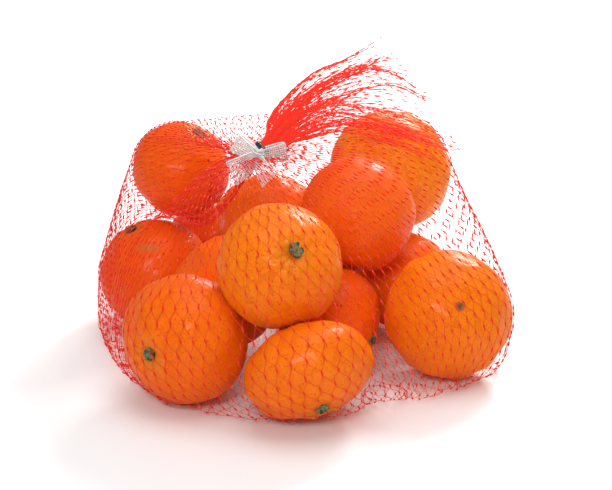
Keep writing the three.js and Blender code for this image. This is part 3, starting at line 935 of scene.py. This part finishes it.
def smooth_line(points, steps):
    """A smooth line of evenly spaced points through the given ones, and its length."""
    points = np.asarray(points, float)
    padded = np.concatenate([[2 * points[0] - points[1]], points, [2 * points[-1] - points[-2]]])
    fine = []
    for i in range(len(points) - 1):
        a, b, c, d = padded[i : i + 4]
        t = np.linspace(0, 1, FINE_STEPS, endpoint=False)[:, None]
        square, cube = 2 * a - 5 * b + 4 * c - d, 3 * b - a - 3 * c + d
        fine.append(0.5 * (2 * b + (c - a) * t + square * t**2 + cube * t**3))
    fine = np.concatenate(fine + [points[-1:]])
    run = run_along(fine)
    return points_at(fine, run, np.linspace(0, run[-1], steps)), run[-1]


# Guide lines along the fan of spare net, from its top edge to its bottom edge, beyond the neck. The strands
# bunch up toward the lines, which stand for equal shares of them.
TAIL_GUIDES = [
    [(-18, 10, 112), (-14, 11, 119), (-4.6, 12, 129), (6, 14, 136.5), (19, 15.5, 141.5), (34.5, 17, 151)],
    [(-16.5, 10, 107), (-10, 11, 116.5), (0, 13, 125), (14, 14.5, 133), (27, 16, 138), (42, 17, 143)],
    [(-16, 12, 105), (-7, 14, 114.5), (2, 17, 121.5), (14, 19, 128.5), (34, 22, 134.5), (56, 24, 122.8)],
    [(-15.5, 12, 103.5), (-7.5, 14, 111), (3, 17, 117), (15, 19, 121.5), (39, 23, 126.4), (58.9, 24, 117.5)],
    [(-15, 13, 102), (-7.5, 18, 107.5), (4.3, 27, 113.3), (17, 36, 114), (44.5, 55, 104), (71.6, 45, 94)],
    [(-14, 12, 100), (-8.4, 15, 104), (5.2, 24, 110), (17, 34, 110), (43, 45, 101), (74.8, 40, 90)],
    [(-14, 13, 98.5), (-7.5, 16, 102.5), (5.7, 26, 105), (19.4, 38, 104), (43.3, 46, 98), (71, 46, 87)],
    [(-14, 13, 97), (-8.5, 15, 100), (5.7, 24, 101.5), (19.2, 38, 100), (43, 42, 93), (65.6, 45, 84)],
]
TAIL_START = 1.5  # beyond the middle of the clip
TAIL_ROWS = 13
TAIL_STEPS = 40
TAIL_BUNCHING = 0.8  # 0: strands evenly spaced between the lines, 1: all of them on the lines
TAIL_RAGGED = 0.28  # share of its length by which a strand between the lines may stop short
TAIL_SPREAD = (0.25, 1.1)  # how far strands stray at the clip, and how much farther at the tips
TAIL_STRAY = np.array([0.4, 1.0, 0.5])  # the share of that along each axis
TAIL_LAYER = np.array([0, 1.6, 0])  # from between the two layers of net to the one at the back


def spare_rows(columns):
    """Knots of the spare net: a flattened tube whose meshes follow the guide lines, ragged at its cut end."""
    rng = np.random.default_rng(7)
    start = NECK + NECK_DIRECTION * TAIL_START
    lines = np.array([[start, *guide] for guide in TAIL_GUIDES])
    gaps = len(lines) - 1
    shares = np.linspace(0, 1, gaps + 1)
    rows = np.zeros((TAIL_ROWS + 1, columns, 3))
    side, other = crosswise(NECK_DIRECTION, [0, 1, 0])
    turn = 2 * np.pi * (np.arange(columns)[:, None] / columns)
    rows[0] = NECK + NECK_RADIUS * NECK_ROOM * (np.cos(turn) * side + np.sin(turn) * other)
    for i, wave in enumerate(rng.normal(0, 1, (columns, 4))):
        for r in range(1, TAIL_ROWS + 1):
            place = ((i + (r % 2) / 2) % columns) / columns
            share, layer = (2 * place, -TAIL_LAYER) if place < 0.5 else (2 - 2 * place, TAIL_LAYER)
            off_line = 0.5 - 0.5 * math.cos(2 * np.pi * gaps * share)
            t = r / TAIL_ROWS * (1 - TAIL_RAGGED * min(abs(wave[3]) * (0.2 + 0.8 * off_line), 1))
            bunching = TAIL_BUNCHING * min(2 * t, 1)
            share -= bunching * math.sin(2 * np.pi * gaps * share) / (2 * np.pi * gaps)
            guide = [points_at(lines[:, k], shares, share) for k in range(lines.shape[1])]
            line, _ = smooth_line(guide, TAIL_STEPS)
            stray = (TAIL_SPREAD[0] + TAIL_SPREAD[1] * t) * (TAIL_STRAY * wave[:3] + layer)
            rows[r, i] = points_at(line, np.arange(TAIL_STEPS), t * (TAIL_STEPS - 1)) + stray
    return rows


class NETBAG_OT_spare_net(bpy.types.Operator):
    """Adds the spare net that fans out beyond the clip"""

    bl_idname = "netbag.spare_net"
    bl_label = "Add Spare Net"

    def execute(self, context):
        settings = context.scene.netbag_net
        balls = Balls(FRUIT_CLEARANCE + settings.yarn_radius / MM)
        rows = balls.push_off(spare_rows(settings.columns))
        free = np.zeros(rows.shape[:2], bool)
        add_net("spare", rows, free, balls, seed=2, thickness=SPARE_THICKNESS, sway=SPARE_SWAY)
        return {"FINISHED"}


# ---------- bow and clip ----------
KNOT = np.array([-22.7, 3.3, 97.4])
KNOT_AXIS = unit([0.3, -0.1, 0.95])
KNOT_RADII = (2.9, 2.2)
KNOT_HALF = 2.2
KNOT_PITCH = 0.7  # the threads of the knot are this much closer together
TIE_BELOW = 2.75  # the ribbon's turn round the neck, under the clip
TIE_RADII = (4.3, 4.3)
TIE_HALF = 1.0
# Each lobe leaves the knot: end of its middle line, widths at the knot and at the end, how far it bows out,
# and whether it comes back behind as a loop.
Lobe = namedtuple("Lobe", "to start end lift loop")
LOBES = [
    Lobe((-33, 8, 103), 3.4, 8.6, 1.9, True),
    Lobe((-9, 3.4, 100), 3.4, 8.0, 1.9, True),
    Lobe((-34.2, -8, 92.4), 3.2, 11.6, 1.4, False),
    Lobe((-17, -15, 91), 3.0, 8.0, 1.2, False),
]


THREAD_SIDES = 4
FEWEST_THREADS = 8  # across a lobe from the knot to its end
THREAD_RISE = 0.6  # how far a thread goes over or under the ones it crosses, over its radius
CRUMPLE = 0.35
THREAD_JITTER = 0.03
EDGE_THREAD = 2.0  # radius of the threads at the ribbon's edges, over that of the others


def gauze(middle, wide, half, normal, pitch, radius, seed):
    """Woven threads over a strip, with the half width and the normal at each step of its middle line."""
    weft = len(middle)
    warp = max(4, round(2 * half.max() / pitch))
    rng = np.random.default_rng(seed)
    u = np.linspace(-1, 1, warp)
    odd = (np.arange(weft)[:, None] + np.arange(warp)) % 2
    over = np.where(odd, 1.0, -1.0) * radius * THREAD_RISE
    grid = middle[:, None] + wide * (half[:, None] * u)[..., None]
    crumple = CRUMPLE * np.sin(u[None] * 5 + np.linspace(0, 9, weft)[:, None] + rng.uniform(0, 6))
    grid = grid + normal[:, None] * crumple[..., None]
    grid = grid + rng.normal(0, THREAD_JITTER, grid.shape)
    along = (grid + normal[:, None] * over[..., None]).transpose(1, 0, 2)
    across = grid - normal[:, None] * over[..., None]
    thick = np.full((warp, 1), radius)
    thick[[0, -1]] = radius * EDGE_THREAD
    lengthwise = tubes(along, thick, THREAD_SIDES, normal)
    return join([lengthwise, tubes(across, radius, THREAD_SIDES, normal[:, None])])


def lobe_gauze(lobe, pitch, radius, seed):
    out = np.array(lobe.to) - KNOT
    length = np.linalg.norm(out)
    out = out / length
    wide = unit(np.cross(out, [0, -1, 0]))
    front = unit(np.cross(wide, out))
    path = [(0, 0), (0.5, lobe.lift), (1, 0)]
    if lobe.loop:
        forth = [(0, 0.5), (0.4, lobe.lift), (0.8, lobe.lift)]
        path = [*forth, (1, 0), *((share, -forward) for share, forward in reversed(forth))]
    points = [KNOT + out * share * length + front * forward for share, forward in path]
    _, run = smooth_line(points, FEWEST_THREADS)
    middle, _ = smooth_line(points, max(FEWEST_THREADS, round(run / pitch)))
    along = unit(np.gradient(middle, axis=0))
    normal = unit(np.cross(along, wide))
    share = np.clip((middle - KNOT) @ out / length, 0, 1)
    half = (lobe.start + (lobe.end - lobe.start) * np.sqrt(share)) / 2
    return gauze(middle, wide, half, normal, pitch, radius, seed)


def wrap_gauze(centre, axis, radii, half, pitch, radius, seed):
    """A turn of ribbon round an axis, as the knot of the bow and the tie round the neck are."""
    side, other = crosswise(axis, [0, 1, 0.2])
    run = 2 * np.pi * max(radii)
    turn = np.linspace(0, 2 * np.pi, max(12, round(run / pitch)))[:, None]
    ring = radii[0] * np.cos(turn) * side + radii[1] * np.sin(turn) * other
    return gauze(centre + ring, axis, np.full(len(ring), half), unit(ring), pitch, radius, seed)


class NETBAG_OT_bow(bpy.types.Operator):
    """Adds the bow of woven gauze and its turn round the neck"""

    bl_idname = "netbag.bow"
    bl_label = "Add Bow"

    def execute(self, context):
        settings = context.scene.netbag_bow
        pitch, radius = settings.thread_pitch / MM, settings.thread_radius / MM
        parts = [lobe_gauze(lobe, pitch, radius, i) for i, lobe in enumerate(LOBES)]
        parts.append(wrap_gauze(KNOT, KNOT_AXIS, KNOT_RADII, KNOT_HALF, pitch * KNOT_PITCH, radius, 11))
        tie = NECK - NECK_DIRECTION * TIE_BELOW
        parts.append(wrap_gauze(tie, NECK_DIRECTION, TIE_RADII, TIE_HALF, pitch, radius, 12))
        points, faces = join(parts)
        add_mesh("gauze_bow", points, faces, "bow", finish("thread"))
        return {"FINISHED"}


CLIP_INNER, CLIP_OUTER, CLIP_HALF, CLIP_BEVEL = 3.75, 4.65, 1.2, 0.25
CLIP_CREASE = (0.25, 0.18)  # half width and depth of the crimped groove
CLIP_SIDES = 72
CLIP_PROFILE = np.array([  # radius and place along the neck
    (CLIP_INNER, -CLIP_HALF),
    (CLIP_OUTER - CLIP_BEVEL, -CLIP_HALF),
    (CLIP_OUTER, -CLIP_HALF + CLIP_BEVEL),
    (CLIP_OUTER, -CLIP_CREASE[0]),
    (CLIP_OUTER - CLIP_CREASE[1], 0),
    (CLIP_OUTER, CLIP_CREASE[0]),
    (CLIP_OUTER, CLIP_HALF - CLIP_BEVEL),
    (CLIP_OUTER - CLIP_BEVEL, CLIP_HALF),
    (CLIP_INNER, CLIP_HALF),
])


class NETBAG_OT_clip(bpy.types.Operator):
    """Adds the crimped metal clip round the neck"""

    bl_idname = "netbag.clip"
    bl_label = "Add Clip"

    def execute(self, context):
        side, other = crosswise(NECK_DIRECTION, [0, 1, 0])
        turn = np.linspace(0, 2 * np.pi, CLIP_SIDES, endpoint=False)
        ring = np.cos(turn)[:, None] * side + np.sin(turn)[:, None] * other
        points = NECK + ring[:, None] * CLIP_PROFILE[:, :1] + NECK_DIRECTION * CLIP_PROFILE[:, 1:]
        index = np.arange(CLIP_SIDES * len(CLIP_PROFILE)).reshape(CLIP_SIDES, -1)
        faces = quads(index, 0, 1).reshape(-1, 4).tolist()
        add_mesh("clip_band", points.reshape(-1, 3), faces, "clip", finish("clip_metal"))
        return {"FINISHED"}


# ---------- stage ----------
AIM = Vector((0, 0, 0.055))
SENSOR = 36.0  # millimetres across
PICTURE_WIDTH = 612  # pixels
PIXELS_PER_METRE_AT_AIM = 1 / 0.00047
FLOOR_WIDTH, FLOOR_DEPTH = 4.0, 2.0  # halves, in metres like all of the stage
FLOOR_SWEEP, FLOOR_HEIGHT = 0.6, 3.0
FLOOR_DROP = 0.0001
LIGHTS = [  # name, place, width and depth in metres, share of the key light's power
    ("behind", (0.4, 0.75, 0.7), (0.3, 0.2), 0.8),
    ("backdrop", (0.17, 0.95, 0.42), (0.3, 0.22), 0.3),
    ("overhead", (0.1, 0, 1.1), (0.9, 0.9), 0.6),
    ("front", (-0.2, -1.0, 0.7), (0.4, 0.3), 0.5),
]


def add_light(name, at, size, power):
    light = bpy.data.lights.new(name, "AREA")
    light.shape = "RECTANGLE"
    light.size, light.size_y = size
    light.energy = power
    lamp = add_shown(name, light)
    lamp.location = at
    lamp.rotation_euler = (AIM - Vector(at)).to_track_quat("-Z", "Y").to_euler()


def add_floor(colour):
    """Pale paper on the table that sweeps up behind."""
    mesh = bpy.data.meshes.new("floor")
    line = [(-FLOOR_DEPTH, 0.0), (FLOOR_DEPTH, 0.0)]
    for a in np.linspace(0.2, np.pi / 2, 10):
        line.append((FLOOR_DEPTH + FLOOR_SWEEP * math.sin(a), FLOOR_SWEEP * (1 - math.cos(a))))
    line.append((FLOOR_DEPTH + FLOOR_SWEEP, FLOOR_HEIGHT))
    points = [(x, y, z - FLOOR_DROP) for y, z in line for x in (-FLOOR_WIDTH, FLOOR_WIDTH)]
    faces = [(2 * i, 2 * i + 1, 2 * i + 3, 2 * i + 2) for i in range(len(line) - 1)]
    mesh.from_pydata(points, [], faces)
    mesh.shade_smooth()
    material, nodes, shader = new_material("paper")
    tint = nodes.mix(nodes.noise(300.0), colour, dimmed(colour, 0.99))
    nodes.set(shader, Base_Color=tint, Roughness=0.45)
    mesh.materials.append(material)
    floor = add_shown("floor", mesh)


class NETBAG_OT_stage(bpy.types.Operator):
    """Adds the pale floor, the soft studio light and the camera"""

    bl_idname = "netbag.stage"
    bl_label = "Add Stage"

    def execute(self, context):
        settings = context.scene.netbag_stage
        scene = context.scene
        scene.view_settings.view_transform = "Standard"
        add_floor(settings.floor)

        world = bpy.data.worlds.new("white_room")
        world.use_nodes = True
        nodes = Nodes(world.node_tree)
        nodes.set(nodes.tree.nodes["Background"], Color=(1, 1, 1), Strength=settings.fill)
        scene.world = world
        for name, at, size, share in LIGHTS:
            add_light(name, at, size, settings.key * share)

        camera = bpy.data.cameras.new("camera")
        camera.sensor_width = SENSOR
        camera.lens = SENSOR * settings.distance * PIXELS_PER_METRE_AT_AIM / PICTURE_WIDTH
        camera.clip_end = 50
        eye = add_shown("camera", camera)
        back = Vector((0, -math.cos(settings.elevation), math.sin(settings.elevation)))
        eye.location = AIM + back * settings.distance
        eye.rotation_euler = (-back).to_track_quat("-Z", "Y").to_euler()
        scene.camera = eye
        return {"FINISHED"}


class NETBAG_PT_parts(bpy.types.Panel):
    """Lists the pieces of the net bag"""

    bl_label = "Net Bag"
    bl_idname = "NETBAG_PT_parts"
    bl_space_type = "VIEW_3D"
    bl_region_type = "UI"
    bl_category = "Net Bag"

    def draw(self, context):
        for operator in OPERATORS:
            self.layout.operator(operator.bl_idname)
        for name in SETTINGS:
            settings = getattr(context.scene, name)
            box = self.layout.box()
            for field in settings.bl_rna.properties:
                if field.identifier not in ("rna_type", "name"):
                    box.prop(settings, field.identifier)


SETTINGS = {
    "netbag_mandarins": NETBAG_PG_mandarins,
    "netbag_net": NETBAG_PG_net,
    "netbag_bow": NETBAG_PG_bow,
    "netbag_stage": NETBAG_PG_stage,
}
OPERATORS = [
    NETBAG_OT_stage,
    NETBAG_OT_mandarins,
    NETBAG_OT_stalk_ends,
    NETBAG_OT_bag_net,
    NETBAG_OT_spare_net,
    NETBAG_OT_bow,
    NETBAG_OT_clip,
]


def register():
    for cls in [*SETTINGS.values(), *OPERATORS, NETBAG_PT_parts]:
        bpy.utils.register_class(cls)
    for name, cls in SETTINGS.items():
        setattr(bpy.types.Scene, name, PointerProperty(type=cls))


def unregister():
    for name in SETTINGS:
        delattr(bpy.types.Scene, name)
    for cls in reversed([*SETTINGS.values(), *OPERATORS, NETBAG_PT_parts]):
        bpy.utils.unregister_class(cls)


def main():
    register()
    for operator in OPERATORS:
        section, name = operator.bl_idname.split(".")
        getattr(getattr(bpy.ops, section), name)()


if __name__ == "__main__":
    main()
